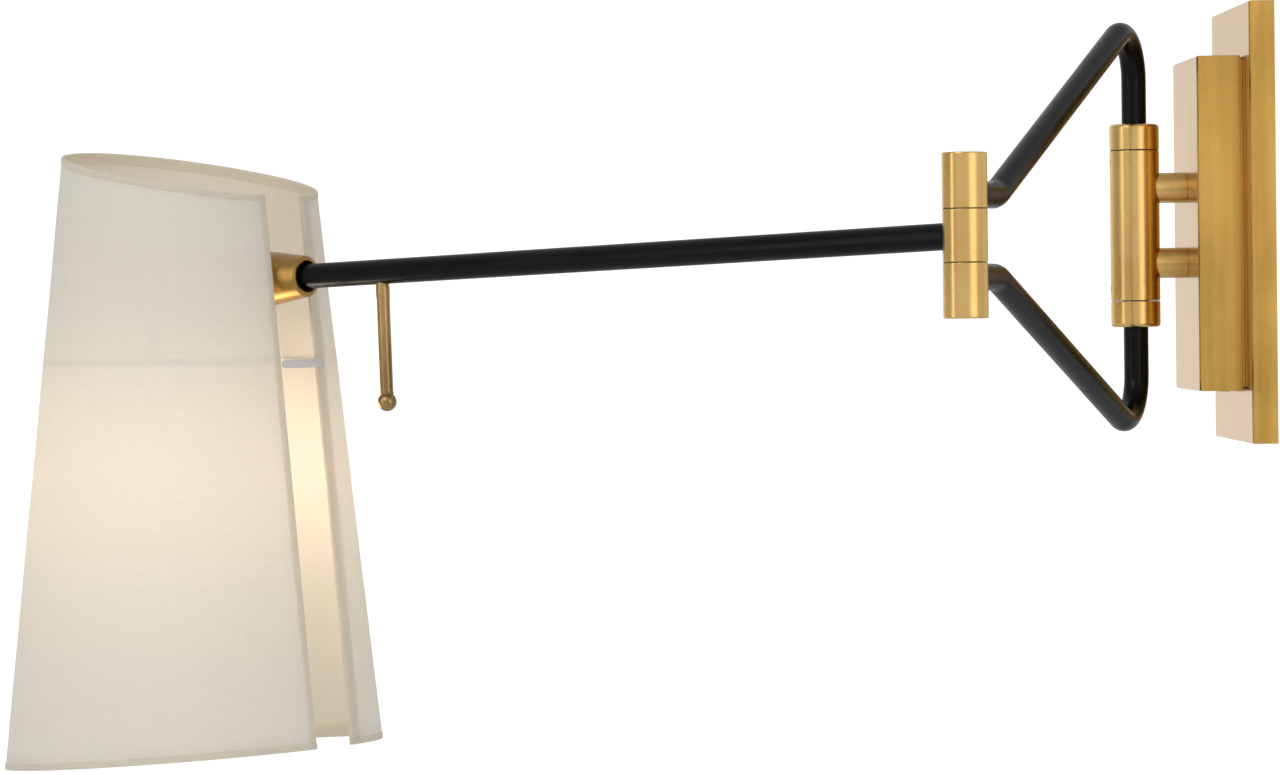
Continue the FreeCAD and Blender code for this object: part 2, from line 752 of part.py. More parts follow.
def elbow_bushes():
    """Two bronze bushes, one in each end of the middle knuckle."""
    bushes = []
    for base in (-KNUCKLE_H / 2, KNUCKLE_H / 2 - ELBOW_BUSH_H):
        bushes.append(ring(ELBOW_BUSH_R, PIN_R + RUNNING, ELBOW_BUSH_H, V(0, 0, base)))
    return to_elbow(Part.makeCompound(bushes))


def arm_tube():
    tube = ring(TUBE_R, TUBE_BORE_R, ARM_TUBE_END - ARM_TUBE_START, V(ARM_TUBE_START, 0, 0), X_AXIS)
    tube = tube.cut(cylinder(HANDLE_R - 1, TUBE_R + 1, V(HANDLE_X, 0, 0), -Z_AXIS))
    return to_arm(tube)


def arm_lead():
    """The lead in the arm tube, from the elbow into the hub."""
    start = ARM_TUBE_START + 1.2
    return to_arm(cylinder(LEAD_R, HUB_FACE + HUB_L - 10 - start, V(start, 0, 0), X_AXIS))


def swivel_stem():
    """The plug in the arm's end and the hollow stem that the hub turns on."""
    shoulder = HUB_FACE + HUB_MOUTH_D - SWIVEL_GAP
    plug = ring(TUBE_BORE_R, SWIVEL_BORE_R, SWIVEL_PLUG, V(ARM_TUBE_END - SWIVEL_PLUG, 0, 0), X_AXIS)
    collar = ring(TUBE_R, SWIVEL_BORE_R, shoulder - ARM_TUBE_END, V(ARM_TUBE_END, 0, 0), X_AXIS)
    stem = ring(SWIVEL_R, SWIVEL_BORE_R, HUB_WEB + SWIVEL_THREAD, V(shoulder, 0, 0), X_AXIS)
    return to_arm(plug.fuse([collar, stem]).removeSplitter())


def swivel_washer():
    base = HUB_FACE + HUB_MOUTH_D + HUB_WEB + SWIVEL_GAP
    return to_arm(ring(SWIVEL_WASHER_R, SWIVEL_R, SWIVEL_WASHER_T, V(base, 0, 0), X_AXIS))


def swivel_nut():
    base = V(HUB_FACE + HUB_MOUTH_D + HUB_WEB + SWIVEL_GAP + SWIVEL_WASHER_T, 0, 0)
    nut = hexagon(SWIVEL_NUT_ACROSS, SWIVEL_NUT_H, base, X_AXIS)
    return to_arm(nut.cut(cylinder(SWIVEL_R, SWIVEL_NUT_H, base, X_AXIS)))


def handle_rod():
    """The turning handle's rod, screwed up into the arm tube."""
    foot = -HANDLE_DROP + BALL_R * HANDLE_BALL_LAP
    rod = cylinder(HANDLE_R, -foot, V(0, 0, foot))
    rod = rod.cut(along_x(cylinder(TUBE_R, 4 * HANDLE_R), -2 * HANDLE_R))
    neck = cylinder(HANDLE_R - 1, TUBE_R - TUBE_BORE_R + HANDLE_NECK_L, V(0, 0, -TUBE_R))
    neck = neck.common(along_x(cylinder(TUBE_R + HANDLE_NECK_L, 4 * HANDLE_R), -2 * HANDLE_R))
    rod = rod.fuse(neck).removeSplitter()
    rod = rod.cut(Part.makeSphere(BALL_R, V(0, 0, -HANDLE_DROP)))
    rod.translate(V(HANDLE_X, 0, 0))
    return to_arm(rod)


def handle_ball():
    return to_arm(Part.makeSphere(BALL_R, V(HANDLE_X, 0, -HANDLE_DROP)))


# -------------------------------------------------------------------- head
def hub():
    """A flared brass cup: mouth round the arm, web on the stem, open back."""
    slope = (HUB_BACK_R - HUB_FRONT_R) / HUB_L
    floor = HUB_MOUTH_D + HUB_WEB
    profile = [(HUB_MOUTH_R, 0), (HUB_FRONT_R - HUB_CHAMFER, 0), (HUB_FRONT_R, HUB_CHAMFER),
               (HUB_BACK_R, HUB_L), (HUB_BACK_R - HUB_WALL, HUB_L),
               (HUB_FRONT_R + slope * floor - HUB_WALL, floor),
               (SWIVEL_R + RUNNING, floor), (SWIVEL_R + RUNNING, HUB_MOUTH_D),
               (HUB_MOUTH_R, HUB_MOUTH_D)]
    return to_arm(along_x(lathe(profile), HUB_FACE))


def hub_back():
    """The disc that closes the hub, with a rolled rim."""
    back = HUB_FACE + HUB_L
    disc = along_x(rounded_plug(HUB_BACK_R, HUB_BACK_T, HUB_BACK_ROUNDING), back)
    spigot = cylinder(HUB_BACK_R - HUB_WALL - HUB_SPIGOT_PLAY, HUB_SPIGOT,
                      V(back - HUB_SPIGOT, 0, 0), X_AXIS)
    disc = disc.fuse(spigot).removeSplitter()
    return to_arm(disc.cut(cylinder(NIPPLE_R, HUB_SPIGOT + HUB_BACK_T, V(back - HUB_SPIGOT, 0, 0), X_AXIS)))


def hub_nipple():
    """The threaded tube from the hub's back into the lampholder's cap."""
    start = HUB_FACE + HUB_L - HUB_SPIGOT
    length = ARM_REACH - CAP_R + NIPPLE_LAP - start
    return to_arm(ring(NIPPLE_R, NIPPLE_BORE_R, length, V(start, 0, 0), X_AXIS))


def nipple_nut():
    base = V(HUB_FACE + HUB_L + HUB_BACK_T, 0, 0)
    nut = hexagon(NIPPLE_NUT_ACROSS, NIPPLE_NUT_H, base, X_AXIS)
    return to_arm(nut.cut(cylinder(NIPPLE_R, NIPPLE_NUT_H, base, X_AXIS)))


def holder_cap():
    """The lampholder's domed metal cap."""
    dome = rounded_plug(CAP_R, CAP_TOP - CAP_BOTTOM, CAP_DOME)
    dome.translate(V(0, 0, CAP_BOTTOM))
    core = rounded_plug(CAP_R - CAP_WALL, CAP_TOP - CAP_BOTTOM - CAP_WALL, CAP_DOME - 1)
    core.translate(V(0, 0, CAP_BOTTOM))
    cap = dome.cut(core)
    entry = arm_cutter(cylinder(NIPPLE_R, 20, V(ARM_REACH - CAP_R - 4, 0, 0), X_AXIS))
    return to_head(cap.cut(entry))


def holder_lead():
    """The lead through the nipple into the cap."""
    start = HUB_FACE + HUB_L - 6
    return to_arm(cylinder(LEAD_R, ARM_REACH - 4 - start, V(start, 0, 0), X_AXIS))


def holder_body():
    """The insulating body, with a shoulder that the shade's fitter rests on."""
    shoulder = FITTER_Z + FITTER_T / 2
    profile = [(SHELL_R + SHELL_T, HOLDER_BOTTOM), (HOLDER_R, HOLDER_BOTTOM), (HOLDER_R, shoulder),
               (HOLDER_R + SHOULDER_W, shoulder), (HOLDER_R + SHOULDER_W, shoulder + SHOULDER_H),
               (HOLDER_R - HOLDER_NECK, shoulder + SHOULDER_RISE), (HOLDER_R - HOLDER_NECK, CAP_BOTTOM),
               (SHELL_R + SHELL_T, CAP_BOTTOM)]
    return to_head(lathe(profile))


def holder_core():
    """The ceramic disc in the top of the body that carries the contacts."""
    core = cylinder(SHELL_R + SHELL_T, CORE_H, V(0, 0, CORE_BASE))
    for side in (-1, 1):
        core = core.cut(cylinder(CORE_HOLE_R, CORE_H, V(0, side * CORE_HOLE_Y, CORE_BASE)))
    return to_head(core)


def screw_shell():
    """The threaded contact shell that the bulb screws into."""
    low = HOLDER_BOTTOM + SHELL_LIFT
    return to_head(ring(SHELL_R + SHELL_T, SHELL_R, CORE_BASE - low, V(0, 0, low)))


def centre_contact():
    """A springy strip under the ceramic disc with a stud for the bulb's tip."""
    low = CORE_BASE - CONTACT_T
    strip = block(V(-CONTACT_W / 2, -CONTACT_L / 2, low), V(CONTACT_W / 2, CONTACT_L / 2, CORE_BASE))
    stud = cylinder(CONTACT_STUD_R, CONTACT_STUD_H, V(0, 0, low - CONTACT_T))
    return to_head(strip.fuse(stud).removeSplitter())


def ring_nut():
    """The ring that clamps the fitter against the body's shoulder."""
    top = FITTER_Z - FITTER_T / 2
    nut = ring(RING_NUT_R, HOLDER_R, RING_NUT_H, V(0, 0, top - RING_NUT_H))
    for k in range(RING_NUT_FLUTES):
        angle = math.radians(360 / RING_NUT_FLUTES * k)
        flute = cylinder(FLUTE_R, RING_NUT_H, V(RING_NUT_R * math.cos(angle),
                                                RING_NUT_R * math.sin(angle), top - RING_NUT_H))
        nut = nut.cut(flute)
    return to_head(nut)


def shade_radius(z):
    """The cone's outer radius at a height above the arm's axis."""
    return SHADE_R - SHADE_TAPER * (z - SHADE_R_Z)


def cone_shell(outer_off, inner_off):
    """A tall cone wall, between two distances outside the shade's surface."""
    low = SHADE_BOTTOM - SHADE_R / 2
    high = SHADE_TOP + SHADE_R / 2
    return lathe([(shade_radius(low) + inner_off, low), (shade_radius(low) + outer_off, low),
                  (shade_radius(high) + outer_off, high), (shade_radius(high) + inner_off, high)])


def between_rims(top_in, bottom_in):
    """The space between the sloping rims, taken in by two distances."""
    top = SHADE_TOP - top_in
    bottom = SHADE_BOTTOM + bottom_in
    far = FAR
    points = [V(-far, -far, bottom - BOTTOM_SLOPE * far), V(far, -far, bottom + BOTTOM_SLOPE * far),
              V(far, -far, top + TOP_SLOPE * far), V(-far, -far, top - TOP_SLOPE * far)]
    return Part.Face(Part.makePolygon(points + points[:1])).extrude(V(0, 2 * far, 0))


def slot_block(width):
    return block(V(0, -width / 2, SHADE_BOTTOM - FAR), V(FAR, width / 2, FAR))


def shade_skin():
    skin = cone_shell(0, -SHADE_T).common(between_rims(0, 0))
    return to_head(skin.cut(slot_block(SLOT_W)))


def shade_edge_tape():
    """The folded edge that runs round both rims and down the slot."""
    tape = cone_shell(HEM_T, 0).common(between_rims(0, 0)).cut(slot_block(SLOT_W))
    field = between_rims(HEM_W, HEM_W).cut(slot_block(SLOT_W + 2 * SLOT_HEM_W))
    return to_head(tape.cut(field))


def rim_band(outer_off, thickness, low_cut, high_cut):
    """A narrow band inside one rim, open at the slot."""
    band = cone_shell(outer_off, outer_off - thickness)
    band = band.common(between_rims(0, 0)).cut(between_rims(low_cut, high_cut))
    return band.cut(slot_block(SLOT_W + 2 * BAND_SLOT_GAP))


def top_band():
    return to_head(rim_band(-SHADE_T, RIM_BAND_T, INNER_HEM_W, 0))


def bottom_band():
    return to_head(rim_band(-SHADE_T, RIM_BAND_T, 0, INNER_HEM_W - BAND_LAP))


def bottom_inner_hem():
    return to_head(rim_band(-SHADE_T - RIM_BAND_T, INNER_HEM_T, 0, INNER_HEM_W))


def hoop_radius():
    return shade_radius(FITTER_Z) - SHADE_T - HOOP_WIRE_R - HOOP_GAP


def fitter():
    """The washer, three spokes and hoop that carry the shade."""
    washer = ring(RING_NUT_R + FITTER_RIM, HOLDER_R, FITTER_T, V(0, 0, FITTER_Z - FITTER_T / 2))
    pieces = []
    for k in range(3):
        angle = math.radians(60 + 120 * k)
        direction = V(math.cos(angle), math.sin(angle), 0)
        start = direction * (HOLDER_R + SPOKE_LAP) + V(0, 0, FITTER_Z)
        pieces.append(cylinder(SPOKE_R, hoop_radius() - HOLDER_R - SPOKE_LAP, start, direction))
    hoop = Part.makeTorus(hoop_radius(), HOOP_WIRE_R, V(0, 0, FITTER_Z))
    hub_hole = cylinder(HOLDER_R, 6 * FITTER_T, V(0, 0, FITTER_Z - 3 * FITTER_T))
    nut_room = cylinder(RING_NUT_R, RING_NUT_H, V(0, 0, FITTER_Z - FITTER_T / 2 - RING_NUT_H))
    shoulder_room = cylinder(HOLDER_R + SHOULDER_W, SHOULDER_H, V(0, 0, FITTER_Z + FITTER_T / 2))
    solid = washer.fuse(pieces + [hoop])
    return to_head(solid.cut(hub_hole.fuse([nut_room, shoulder_room])).removeSplitter())


def slot_bridge():
    """The covered strap across the slot, lapped over the tape on one side."""
    strap = cone_shell(HEM_T + BRIDGE_T, HEM_T)
    half_height = BRIDGE_H / 2
    window = block(V(0, -SLOT_W / 2, FITTER_Z - half_height),
                   V(FAR, SLOT_W / 2 + BRIDGE_LAP, FITTER_Z + half_height))
    return to_head(strap.common(window))


def bulb_base():
    """The bulb's screw cap with its insulated end contact."""
    tip = CORE_BASE - BULB_TIP_GAP
    profile = [(0, BULB_NECK_Z), (BULB_BASE_R, BULB_NECK_Z), (BULB_BASE_R, BULB_BASE_TOP - 1),
               (BULB_BASE_R - BULB_SHOULDER, BULB_BASE_TOP + 1), (BULB_TIP_R, tip), (0, tip)]
    return to_head(lathe(profile))


def bulb_outline(inset):
    """The solid inside the glass outline: a neck that swells into a round end."""
    radius = BULB_R - inset
    neck = V(BULB_NECK_R - inset, 0, BULB_NECK_Z)
    throat = neck + V(THROAT_FLARE, 0, -THROAT_DROP)
    shoulder, low = (V(radius * math.cos(math.radians(angle)), 0,
                       BULB_CENTRE_Z + radius * math.sin(math.radians(angle)))
                     for angle in (BULB_SHOULDER_ANGLE, BULB_LOW_ANGLE))
    top = V(0, 0, BULB_NECK_Z)
    end = V(0, 0, BULB_CENTRE_Z - radius)
    edges = [Part.LineSegment(top, neck).toShape(), Part.LineSegment(neck, throat).toShape(),
             Part.LineSegment(throat, shoulder).toShape(), Part.Arc(shoulder, low, end).toShape(),
             Part.LineSegment(end, top).toShape()]
    return Part.Face(Part.Wire(edges)).revolve(V(0, 0, 0), Z_AXIS, 360)


def bulb_glass():
    return to_head(bulb_outline(0).cut(bulb_outline(GLASS_T)))


def bulb_filament():
    """The light source inside the glass: a stem, a spine and four upright rods."""
    stem_base = BULB_NECK_Z - STEM_H - STEM_GAP
    stem = cylinder(STEM_R, STEM_H, V(0, 0, stem_base))
    low = BULB_CENTRE_Z - 14
    solids = [cylinder(SPINE_R, stem_base - low, V(0, 0, low))]
    for k in range(4):
        angle = math.radians(45 + 90 * k)
        foot = V(ROD_CIRCLE * math.cos(angle), ROD_CIRCLE * math.sin(angle), low)
        solids.append(cylinder(ROD_R, ROD_H, foot))
    for z in (low, low + ROD_H - ROD_PLATE_T):
        solids.append(cylinder(ROD_PLATE_R, ROD_PLATE_T, V(0, 0, z)))
    return to_head(stem.fuse(solids).removeSplitter())


# -------------------------------------------------------------------- build
def parts():
    return {
        "wall_plate": wall_plate(),
        "crossbar": crossbar(),
        "plate_screws": plate_screws(),
        "earth_screw": earth_screw(),
        "box_base": box_base(),
        "box_cover": box_cover(),
        "cover_screws": cover_screws(),
        "wire_connectors": wire_connectors(),
        "supply_leads": supply_leads(),
        "upper_post": post(POST_Z, False),
        "lower_post": post(-POST_Z, True),
        "post_washers": post_washers(),
        "post_nuts": post_nuts(),
        "post_lead": post_lead(),
        "barrel": barrel(),
        "barrel_bushes": barrel_bushes(),
        "tension_screws": tension_screws(),
        "spindle": spindle(),
        "thrust_washers": thrust_washers(),
        "barrel_cap_top": barrel_cap(1),
        "barrel_cap_bottom": barrel_cap(-1),
        "upper_tube": frame_tube(1),
        "lower_tube": frame_tube(-1),
        "frame_lead": frame_lead(),
        "elbow_knuckle_top": outer_knuckle(1),
        "elbow_knuckle_bottom": outer_knuckle(-1),
        "elbow_pin": elbow_pin(),
        "elbow_nut": elbow_nut(),
        "elbow_plugs": elbow_plugs(),
        "elbow_washers": elbow_washers(),
        "elbow_knuckle_middle": middle_knuckle(),
        "elbow_bushes": elbow_bushes(),
        "arm_tube": arm_tube(),
        "arm_lead": arm_lead(),
        "swivel_stem": swivel_stem(),
        "swivel_washer": swivel_washer(),
        "swivel_nut": swivel_nut(),
        "handle_rod": handle_rod(),
        "handle_ball": handle_ball(),
        "hub": hub(),
        "hub_back": hub_back(),
        "hub_nipple": hub_nipple(),
        "nipple_nut": nipple_nut(),
        "holder_cap": holder_cap(),
        "holder_lead": holder_lead(),
        "holder_body": holder_body(),
        "holder_core": holder_core(),
        "screw_shell": screw_shell(),
        "centre_contact": centre_contact(),
        "ring_nut": ring_nut(),
        "fitter": fitter(),
        "shade_skin": shade_skin(),
        "shade_edge_tape": shade_edge_tape(),
        "top_band": top_band(),
        "bottom_band": bottom_band(),
        "bottom_inner_hem": bottom_inner_hem(),
        "slot_bridge": slot_bridge(),
        "bulb_glass": bulb_glass(),
        "bulb_base": bulb_base(),
        "bulb_filament": bulb_filament(),
    }


os.makedirs("parts", exist_ok=True)
for name, shape in parts().items():
    if not shape.isValid():
        print("not valid:", name)
    print(f"{name:24s} {len(shape.Solids)} solid(s) {shape.Volume:12.1f} mm3")
    shape.exportStep(f"parts/{name}.step")
print("elbow", elbow_point(), "head", head_point())
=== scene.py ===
"""The looks of the swing arm wall sconce: aged brass, satin black tube and a lit linen shade.

Metres, in the same frame as the CAD: the wall is Y = 0, the lamp reaches out
along -Y, and Z is up.
"""
import bpy
import json
import math
from mathutils import Matrix, Vector, noise


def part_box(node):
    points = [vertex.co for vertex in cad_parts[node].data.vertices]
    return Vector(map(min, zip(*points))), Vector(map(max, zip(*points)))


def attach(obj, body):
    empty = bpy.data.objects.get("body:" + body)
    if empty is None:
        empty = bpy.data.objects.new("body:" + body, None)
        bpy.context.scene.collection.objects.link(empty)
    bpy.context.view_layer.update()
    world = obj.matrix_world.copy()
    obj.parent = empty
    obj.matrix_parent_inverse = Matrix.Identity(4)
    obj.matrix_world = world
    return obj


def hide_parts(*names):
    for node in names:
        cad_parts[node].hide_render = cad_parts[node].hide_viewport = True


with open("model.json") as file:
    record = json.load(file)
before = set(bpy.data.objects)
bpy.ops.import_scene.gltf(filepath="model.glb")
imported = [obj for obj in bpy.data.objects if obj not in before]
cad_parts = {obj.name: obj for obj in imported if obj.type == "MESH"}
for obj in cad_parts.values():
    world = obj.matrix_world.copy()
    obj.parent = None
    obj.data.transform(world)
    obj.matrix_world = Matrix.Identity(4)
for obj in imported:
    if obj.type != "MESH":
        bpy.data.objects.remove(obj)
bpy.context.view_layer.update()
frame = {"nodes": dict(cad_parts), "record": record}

MM = 0.001
NODES = frame["nodes"]
RECORD = frame["record"]
JOINT_AT = {j["name"]: Vector(j["pos_m"]) for j in RECORD["behaviour"]["joints"]}
ELBOW = JOINT_AT["elbow_swing"]
HEAD = JOINT_AT["head_tilt"]

# ---------------------------------------------------------------- sizes
# shade, in the head's own axes: X towards the elbow, Z up, from the arm's axis
SHADE_R = 89.6 * MM
SHADE_R_Z = -146.0 * MM
SHADE_TAPER = 0.1063
SHADE_T = 1.2 * MM
SHADE_TOP = 59.0 * MM
SHADE_BOTTOM = -252.5 * MM
TOP_SLOPE = -0.195
BOTTOM_SLOPE = 0.083
SLOT_HALF = 14.0 * MM
RIPPLE = 0.3 * MM
THREAD = 0.62 * MM

# folded edges: how far the cloth stands off the wall, and how far it reaches back from the edge
FOLD_LIFT = 0.42 * MM
FOLD_LIP = 0.8 * MM
FOLD_FEATHER = 0.25 * MM
FOLD_TURN = 1.6 * MM
FOLD_WAVE = 0.22 * MM
RIM_REACH = 3.6 * MM
TOP_REACH_IN = 6.0 * MM
BOTTOM_REACH_IN = 8.0 * MM
SLOT_REACH_FAR = 8.6 * MM
SLOT_REACH_NEAR = 4.6 * MM
SLOT_REACH_IN = 4.5 * MM

# strap across the slot
FITTER_Z = -43.0 * MM
STRAP_OUT = 1.15 * MM
STRAP_LAP = 6.0 * MM
STRAP_HALF_T = 0.52 * MM
STRAP_HALF_H = 2.25 * MM
STRAP_FRAY = 0.10 * MM

# handle's collars, heights measured from the ball's centre or down from the rod's top
ROD_R = 3.4 * MM
COLLAR_LAP = 0.1 * MM
FERRULE_T = 0.16 * MM
FERRULE_LIP = 0.08 * MM
FERRULE_LOW = 9.5 * MM
FERRULE_SHOULDER = 9.2 * MM
FERRULE_HIGH = 3.0 * MM
BEAD_T = 0.32 * MM
BEAD_SIDE_T = 0.22 * MM
BEAD_HEIGHTS = tuple(h * MM for h in (4.0, 4.2, 4.5, 4.8, 5.0))

# light and stage
BULB_GLOW = 6.7
FLOOR_Z = -0.95
FLOOR_BEHIND = 4.5
FLOOR_REACH = 30.0

# camera
LENS_PX = 4500.0
IMAGE_W = 1280.0
CAMERA_AT = Vector((2.374, -0.3682, -0.0368))
AIM_RIGHT = 77.9
AIM_UP = -86.0
ROLL = 0.0127


# ------------------------------------------------------------ node helpers
class Graph:
    """The node tree of a material or a world, written as nested calls."""

    def __init__(self, owner, output="OutputMaterial"):
        self.owner = owner
        owner.use_nodes = True
        self.tree = owner.node_tree
        self.tree.nodes.clear()
        self.output = self.node(output)

    def node(self, kind, inputs=None, **settings):
        made = self.tree.nodes.new("ShaderNode" + kind)
        for key, value in settings.items():
            setattr(made, key, value)
        for key, value in (inputs or {}).items():
            self.put(made.inputs[key], value)
        return made

    def put(self, socket, value):
        if isinstance(value, bpy.types.NodeSocket):
            self.tree.links.new(value, socket)
        elif isinstance(value, bpy.types.Node):
            self.tree.links.new(value.outputs[0], socket)
        else:
            socket.default_value = value

    def math(self, operation, *values):
        inputs = dict(enumerate(values))
        return self.node("Math", inputs, operation=operation).outputs[0]

    def ramp(self, value, *stops):
        """A colour ramp; each stop is (position, colour or grey)."""
        made = self.node("ValToRGB", {0: value})
        elements = made.color_ramp.elements
        while len(elements) < len(stops):
            elements.new(0.5)
        for element, (position, colour) in zip(elements, stops):
            element.position = position
            element.color = rgba(colour)
        return made.outputs[0]

    def mix(self, factor, first, second, blend="MIX"):
        made = self.node("Mix", data_type="RGBA", blend_type=blend)
        self.put(made.inputs[0], factor)
        for socket, value in ((made.inputs[6], first), (made.inputs[7], second)):
            self.put(socket, rgba(value) if isinstance(value, (tuple, float)) else value)
        return made.outputs[2]

    def place(self, scale, coordinates="Object"):
        """The row frame's coordinates, stretched by scale along each axis."""
        where = self.node("TexCoord").outputs[coordinates]
        return self.node("Mapping", {"Vector": where, "Scale": scale}).outputs[0]

    def noise(self, scale, size=1.0, detail=3.0, rough=0.5, coordinates="Object"):
        vector = self.place(scale, coordinates)
        return self.node("TexNoise", {"Vector": vector, "Scale": size, "Detail": detail,
                                      "Roughness": rough}).outputs[0]

    def bump(self, height, distance, strength=1.0, normal=None):
        inputs = {"Height": height, "Distance": distance, "Strength": strength}
        if normal is not None:
            inputs["Normal"] = normal
        return self.node("Bump", inputs).outputs[0]

    def soft_edges(self, radius):
        """A normal that rounds sharp edges, and a mask that is 1 on them."""
        bevel = self.node("Bevel", {"Radius": radius}, samples=6).outputs[0]
        true = self.node("NewGeometry").outputs["Normal"]
        alike = self.node("VectorMath", {0: bevel, 1: true},
                          operation="DOT_PRODUCT").outputs["Value"]
        edge = self.ramp(alike, (0.80, 1.0), (0.995, 0.0))
        return bevel, edge

    def finish(self, shader):
        self.put(self.output.inputs[0], shader)
        return self.owner


def material_graph(name):
    return Graph(bpy.data.materials.new(name))


def rgba(value):
    if isinstance(value, (int, float)):
        return (value, value, value, 1.0)
    return tuple(value) + (1.0,) if len(value) == 3 else tuple(value)


# --------------------------------------------------------------- materials
def brass(name, light, dark, rough=0.24, grain=(170, 170, 5), specks=0.2):
    """Aged brass: brushed upright, softly clouded, and lightened on its edges, partly as wear and
    partly as a painted highlight.
    """
    g = material_graph(name)
    streaks = g.noise(grain, 1.0, 4.0, 0.55)
    hairs = g.noise((1500, 1500, 18), 1.0, 2.0, 0.5)
    clouds = g.noise((30, 30, 16), 1.0, 4.0, 0.5)
    spots = g.noise((430, 430, 430), 1.0, 2.0, 0.5)
    normal, edge = g.soft_edges(0.45 * MM)
    tone = g.math("ADD", g.math("MULTIPLY", streaks, 0.40), g.math("MULTIPLY", clouds, 0.60))
    colour = g.mix(g.ramp(tone, (0.38, 0.0), (0.62, 1.0)), dark, light)
    tarnish = tuple(c * 0.35 for c in dark)
    colour = g.mix(g.ramp(spots, (0.66, 0.0), (0.76, specks)), colour, tarnish)
    # Edges lightened: wear on the brass, and a painted highlight.
    worn_edge_and_highlight = tuple(min(1.0, c * 1.12 + 0.10) for c in light)
    colour = g.mix(g.math("MULTIPLY", edge, 0.45), colour, worn_edge_and_highlight)
    roughness = g.node("MapRange", {0: tone, 1: 0.3, 2: 0.7, 3: rough - 0.05, 4: rough + 0.09})
    normal = g.bump(hairs, 0.012 * MM, 0.3, normal)
    normal = g.bump(clouds, 0.20 * MM, 0.10, normal)
    return g.finish(g.node("BsdfPrincipled", {
        "Base Color": colour, "Metallic": 1.0, "Roughness": roughness.outputs[0],
        "Normal": normal}))


def black_paint():
    """Satin black paint on tube: fine orange peel, dust and a little brown where it is thin."""
    g = material_graph("satin_black")
    peel = g.noise((900, 900, 900), 1.0, 3.0, 0.5)
    drift = g.noise((22, 22, 22), 1.0, 3.0, 0.5)
    dust = g.noise((2600, 2600, 2600), 1.0, 1.0, 0.5)
    colour = g.mix(g.ramp(drift, (0.35, 0.0), (0.7, 1.0)),
                   (0.0014, 0.0026, 0.0028), (0.0040, 0.0042, 0.0038))
    colour = g.mix(g.ramp(dust, (0.70, 0.0), (0.82, 0.25)), colour, (0.05, 0.045, 0.04))
    rough = g.node("MapRange", {0: drift, 1: 0.3, 2: 0.7, 3: 0.20, 4: 0.32}).outputs[0]
    normal = g.bump(peel, 0.02 * MM, 0.35)
    return g.finish(g.node("BsdfPrincipled", {
        "Base Color": colour, "Roughness": rough, "Normal": normal,
        "Specular IOR Level": 0.12}))


def plain_metal(name, light, dark, rough, grain=(240, 240, 240)):
    """Plated or turned metal with fine grain, and edges lightened partly as wear and partly as a
    painted highlight.
    """
    g = material_graph(name)
    streaks = g.noise(grain, 1.0, 4.0, 0.6)
    stains = g.noise((90, 90, 90), 1.0, 3.0, 0.5)
    normal, edge = g.soft_edges(0.25 * MM)
    colour = g.mix(g.ramp(streaks, (0.3, 0.0), (0.7, 1.0)), dark, light)
    stained = tuple(c * 0.55 for c in dark)
    # Edges lightened: wear, and a painted highlight.
    rubbed_edge_and_highlight = tuple(min(1.0, c * 1.15) for c in light)
    colour = g.mix(g.ramp(stains, (0.55, 0.0), (0.8, 0.3)), colour, stained)
    colour = g.mix(g.math("MULTIPLY", edge, 0.4), colour, rubbed_edge_and_highlight)
    roughness = g.node("MapRange", {0: streaks, 1: 0.3, 2: 0.7, 3: rough - 0.06, 4: rough + 0.1})
    normal = g.bump(streaks, 0.02 * MM, 0.4, normal)
    return g.finish(g.node("BsdfPrincipled", {
        "Base Color": colour, "Metallic": 1.0, "Roughness": roughness.outputs[0],
        "Normal": normal}))


def moulded(name, light, dark, rough, grain=420.0, bump=0.04 * MM):
    """Moulded plastic, rubber or ceramic: mottled colour over a fine grain."""
    g = material_graph(name)
    fine = g.noise((grain, grain, grain), 1.0, 4.0, 0.6)
    broad = g.noise((60, 60, 60), 1.0, 3.0, 0.5)
    normal, edge = g.soft_edges(0.3 * MM)
    colour = g.mix(g.ramp(broad, (0.3, 0.0), (0.7, 1.0)), dark, light)
    # Edges lightened: wear, and a painted highlight.
    rubbed_edge_and_highlight = tuple(min(1.0, c * 1.4 + 0.02) for c in light)
    colour = g.mix(g.math("MULTIPLY", edge, 0.25), colour, rubbed_edge_and_highlight)
    roughness = g.node("MapRange", {0: fine, 1: 0.3, 2: 0.7, 3: rough - 0.07, 4: rough + 0.09})
    normal = g.bump(fine, bump, 0.4, normal)
    return g.finish(g.node("BsdfPrincipled", {
        "Base Color": colour, "Roughness": roughness.outputs[0], "Normal": normal}))


def sleeved_wire():
    """Wire in a milky plastic sleeve that passes most of the lamp's light."""
    g = material_graph("sleeved_wire")
    grain = g.noise((500, 500, 500), 1.0, 2.0, 0.5)
    colour = g.mix(grain, (0.93, 0.92, 0.90), (0.99, 0.985, 0.97))
    normal = g.bump(grain, 0.03 * MM, 0.3)
    front = g.node("BsdfPrincipled", {"Base Color": colour, "Roughness": 0.45, "Normal": normal})
    behind = g.node("BsdfTranslucent", {"Color": colour, "Normal": normal})
    return g.finish(g.node("MixShader", {0: 0.94, 1: front, 2: behind}))


def weave(g):
    """A plain weave from the UV map in metres: its basket, and slubs each way."""
    where = g.node("TexCoord").outputs["UV"]
    wander = g.node("TexNoise", {"Vector": where, "Scale": 260.0, "Detail": 2.0}).outputs["Color"]
    shifted = g.node("VectorMath", {0: wander, 1: (0.5, 0.5, 0.5)}, operation="SUBTRACT").outputs[0]
    shifted = g.node("VectorMath", {0: shifted, 3: 0.7 * THREAD}, operation="SCALE").outputs[0]
    where = g.node("VectorMath", {0: where, 1: shifted}, operation="ADD").outputs[0]
    split = g.node("SeparateXYZ", {0: where})
    around = g.math("SINE", g.math("MULTIPLY", split.outputs[0], 2 * math.pi / THREAD))
    along = g.math("SINE", g.math("MULTIPLY", split.outputs[1], 2 * math.pi / THREAD))
    basket = g.math("MULTIPLY", around, along)
    across_slub = g.noise((90, 2600, 1), 1.0, 3.0, 0.55, "UV")
    down_slub = g.noise((2600, 90, 1), 1.0, 3.0, 0.55, "UV")
    return basket, across_slub, down_slub


